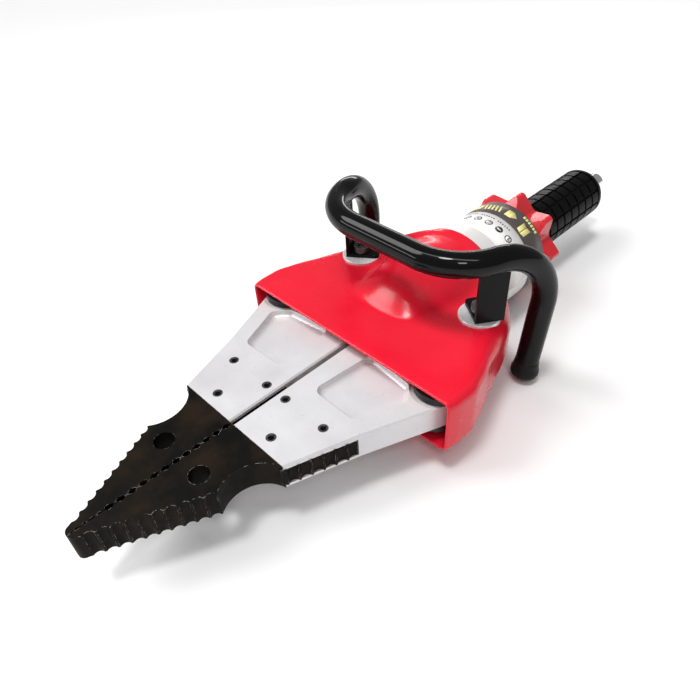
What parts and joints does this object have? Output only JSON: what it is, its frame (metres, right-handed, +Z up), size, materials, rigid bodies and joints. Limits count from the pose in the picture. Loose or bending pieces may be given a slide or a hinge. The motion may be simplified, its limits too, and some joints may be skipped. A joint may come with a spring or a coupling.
{
  "type": "hydraulic rescue spreader",
  "caption": "Hydraulic rescue spreader: red cover, twin pivoted silver arms with serrated black tips, curved carry handle, star-shaped control ring and ribbed rear grip.",
  "frame": {"origin": "middle of the bounding box seen from above, at the lowest point of the tool", "axes": "+Y from the tips towards the rear grip, +X to the right of a user holding the rear grip, +Z up on the side of the carrying bar"},
  "size_m": [0.2802, 0.788, 0.1825],
  "materials": {
    "cover_red": "high gloss red paint",
    "star_red": "gloss red",
    "arm_silver": "satin silver",
    "tip_steel": "black oxide forged steel",
    "steel": "machined",
    "spring_steel": "dark spring steel",
    "yoke_dark": "dark satin paint",
    "bronze": "bearing bronze",
    "cylinder_silver": "satin silver",
    "label_film": "printed film without text",
    "boss_silver": "turned",
    "handle_black": "gloss black",
    "bracket_black": "satin black",
    "plug_rubber": "matt",
    "grip_rubber": "semi gloss",
    "seal_rubber": "matt",
    "chrome": "polished"
  },
  "bodies": {
    "tool": {"yoke_flange": "yoke_dark", "yoke_webs": "yoke_dark", "upper_cheeks": "yoke_dark", "lower_cheeks": "yoke_dark", "yoke_bolts": "spring_steel", "pivot_pins": "steel", "pivot_snap_rings": "spring_steel", "cylinder_tube": "cylinder_silver", "label_sleeve": "label_film", "end_cap": "cylinder_silver", "rod_gland": "steel", "rod_seals": "seal_rubber", "cover": "cover_red", "bosses": "boss_silver", "boss_bolts": "spring_steel", "handle_tube": "handle_black", "end_plugs": "plug_rubber", "right_bracket": "bracket_black", "left_bracket": "bracket_black", "grip_core": "cylinder_silver", "rubber_grip": "grip_rubber", "feed_tube": "steel", "coupler_body": "chrome", "coupler_poppet": "steel"},
    "piston": {"crosshead": "steel", "piston_rod": "chrome", "piston": "steel", "piston_seals": "seal_rubber"},
    "control": {"star_ring": "star_red"},
    "right_jaw": {"right_arm": "arm_silver", "right_arm_bush": "bronze", "right_tip": "tip_steel", "right_tip_pins": "spring_steel"},
    "right_link": {"right_link_plates": "steel", "right_link_pins": "steel"},
    "left_jaw": {"left_arm": "arm_silver", "left_arm_bush": "bronze", "left_tip": "tip_steel", "left_tip_pins": "spring_steel"},
    "left_link": {"left_link_plates": "steel", "left_link_pins": "steel"}
  },
  "joints": [
    {"name": "right_jaw_pivot", "type": "hinge", "parent": "tool", "child": "right_jaw", "pos_m": [0.106, -0.084, 0.063], "axis": [0, 0, 1], "range_deg": [0, 28]},
    {"name": "left_jaw_pivot", "type": "hinge", "parent": "tool", "child": "left_jaw", "pos_m": [-0.106, -0.084, 0.063], "axis": [0, 0, -1], "range_deg": [0, 28]},
    {"name": "piston_slide", "type": "slide", "parent": "tool", "child": "piston", "axis": [0, -1, 0], "range_m": [0, 0.0332]},
    {"name": "right_link_pivot", "type": "hinge", "parent": "piston", "child": "right_link", "pos_m": [0.038, -0.00531, 0.063], "axis": [0, 0, 1], "range_deg": [-7, 0]},
    {"name": "left_link_pivot", "type": "hinge", "parent": "piston", "child": "left_link", "pos_m": [-0.038, -0.00531, 0.063], "axis": [0, 0, -1], "range_deg": [-7, 0]},
    {"name": "star_turn", "type": "hinge", "parent": "tool", "child": "control", "pos_m": [0, 0.191, 0.063], "axis": [0, 1, 0], "range_deg": [-30, 30], "stiffness_Nm_per_rad": 0.6}
  ],
  "couplings": [
    {"joint": "left_jaw_pivot", "follows": "right_jaw_pivot", "ratio": 1},
    {"joint": "piston_slide", "follows": "right_jaw_pivot", "m_per_rad": 0.0677},
    {"joint": "right_link_pivot", "follows": "right_jaw_pivot", "ratio": -0.243},
    {"joint": "left_link_pivot", "follows": "right_jaw_pivot", "ratio": -0.243}
  ]
}
